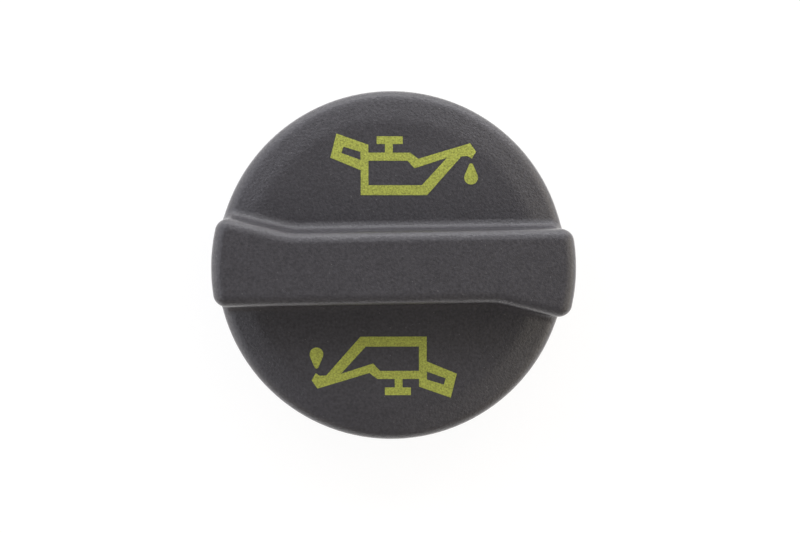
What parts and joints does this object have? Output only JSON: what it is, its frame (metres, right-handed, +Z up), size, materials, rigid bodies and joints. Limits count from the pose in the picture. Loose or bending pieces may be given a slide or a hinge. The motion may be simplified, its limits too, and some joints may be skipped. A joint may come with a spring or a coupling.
{
  "type": "oil filler cap",
  "caption": "Round quarter-turn oil filler cap with a bar grip swept out at its ends, a skirt, and a hollow stem with bayonet lugs and a rubber seal ring.",
  "frame": {"origin": "centre of the stem's end face, which the cap stands on", "axes": "+Z up along the cap's axis towards the grip, +X along the bar grip, +Y across it"},
  "size_m": [0.062, 0.062, 0.042],
  "materials": {
    "cap_plastic": "fine spark-eroded grain",
    "seal_rubber": "smooth, matte"
  },
  "bodies": {
    "root": {"cap_body": "cap_plastic", "seal_ring": "seal_rubber"}
  },
  "joints": []
}
